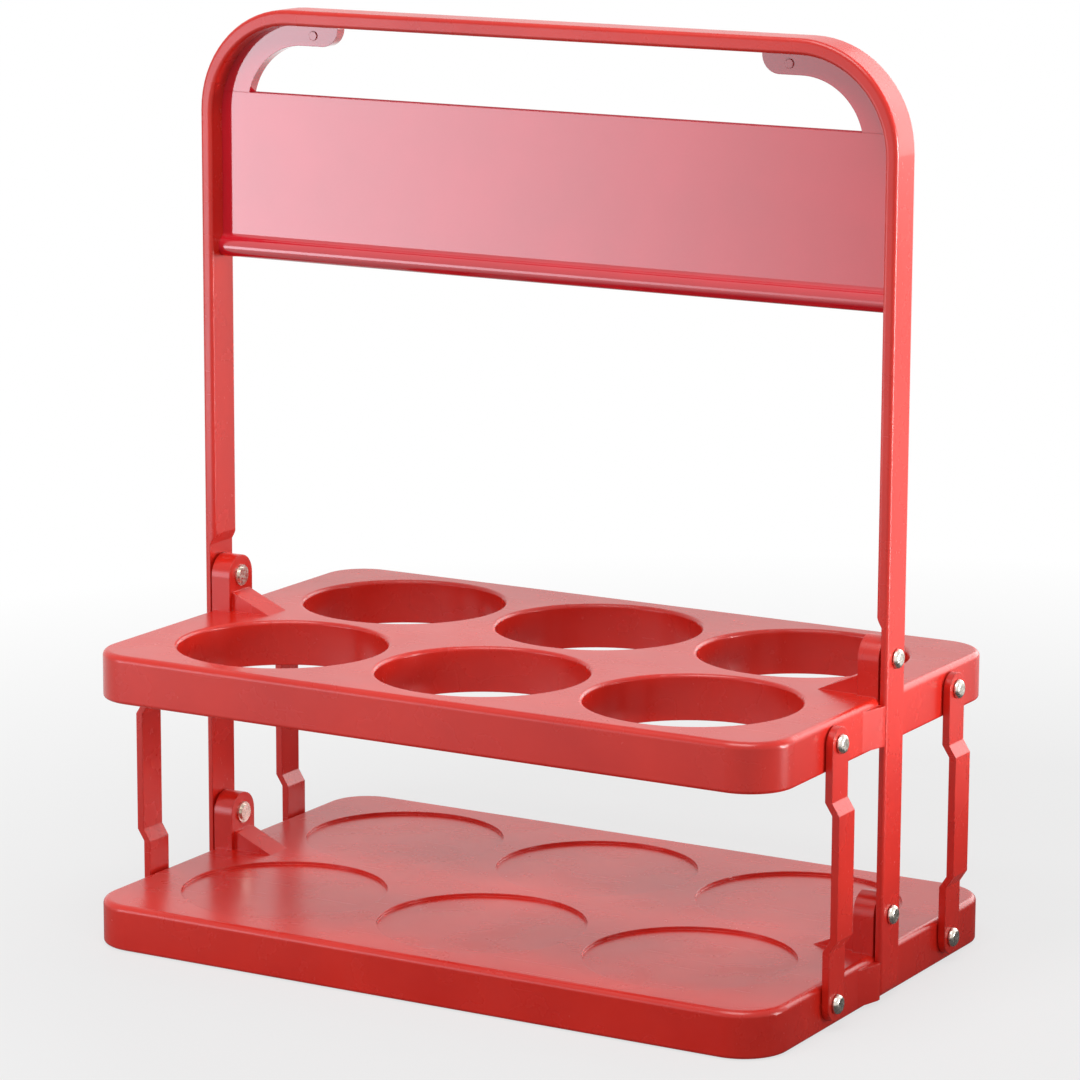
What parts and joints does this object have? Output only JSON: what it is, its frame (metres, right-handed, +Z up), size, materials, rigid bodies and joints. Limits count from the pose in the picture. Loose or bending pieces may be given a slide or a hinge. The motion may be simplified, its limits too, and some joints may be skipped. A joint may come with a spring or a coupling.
{
  "type": "six pack carrier",
  "caption": "Red plastic folding bottle carrier: two trays joined by riveted jogged legs and a U-shaped strap handle with a plain panel and corner braces.",
  "frame": {"origin": "middle of the base tray's underside", "axes": "+Z up, +X along the trays to the right end, +Y to the back; the upper tray folds to the front"},
  "size_m": [0.302, 0.191, 0.35],
  "materials": {
    "red_plastic": "gloss",
    "panel_plastic": "high gloss",
    "rivet_steel": "satin"
  },
  "bodies": {
    "base": {"base_tray": "red_plastic", "base_leg_rivets": "rivet_steel", "base_handle_rivets": "rivet_steel", "base_leg_washers": "rivet_steel", "base_handle_washers": "rivet_steel"},
    "handle": {"handle_strap": "red_plastic", "sign_panel": "panel_plastic", "corner_brace_left": "panel_plastic", "corner_brace_right": "panel_plastic", "brace_pins": "panel_plastic"},
    "upper": {"upper_tray": "red_plastic", "upper_leg_rivets": "rivet_steel", "upper_handle_rivets": "rivet_steel", "upper_leg_washers": "rivet_steel", "upper_handle_washers": "rivet_steel"},
    "front_left_leg": {"front_left_leg": "red_plastic"},
    "front_right_leg": {"front_right_leg": "red_plastic"},
    "back_left_leg": {"back_left_leg": "red_plastic"},
    "back_right_leg": {"back_right_leg": "red_plastic"}
  },
  "joints": [
    {"name": "handle_fold", "type": "hinge", "parent": "base", "child": "handle", "pos_m": [0, 0, 0.0315], "axis": [1, 0, 0], "range_deg": [0, 52]},
    {"name": "front_left_leg_fold", "type": "hinge", "parent": "base", "child": "front_left_leg", "pos_m": [0, -0.045, 0.0095], "axis": [1, 0, 0], "range_deg": [0, 52]},
    {"name": "front_right_leg_fold", "type": "hinge", "parent": "base", "child": "front_right_leg", "pos_m": [0, -0.045, 0.0095], "axis": [1, 0, 0], "range_deg": [0, 52]},
    {"name": "back_left_leg_fold", "type": "hinge", "parent": "base", "child": "back_left_leg", "pos_m": [0, 0.053, 0.0095], "axis": [1, 0, 0], "range_deg": [0, 52]},
    {"name": "back_right_leg_fold", "type": "hinge", "parent": "base", "child": "back_right_leg", "pos_m": [0, 0.053, 0.0095], "axis": [1, 0, 0], "range_deg": [0, 52]},
    {"name": "upper_tray_level", "type": "hinge", "parent": "handle", "child": "upper", "pos_m": [0, 0, 0.1275], "axis": [1, 0, 0], "range_deg": [-52, 0]}
  ],
  "couplings": [
    {"joint": "front_left_leg_fold", "follows": "handle_fold", "ratio": 1},
    {"joint": "front_right_leg_fold", "follows": "handle_fold", "ratio": 1},
    {"joint": "back_left_leg_fold", "follows": "handle_fold", "ratio": 1},
    {"joint": "back_right_leg_fold", "follows": "handle_fold", "ratio": 1},
    {"joint": "upper_tray_level", "follows": "handle_fold", "ratio": -1}
  ]
}
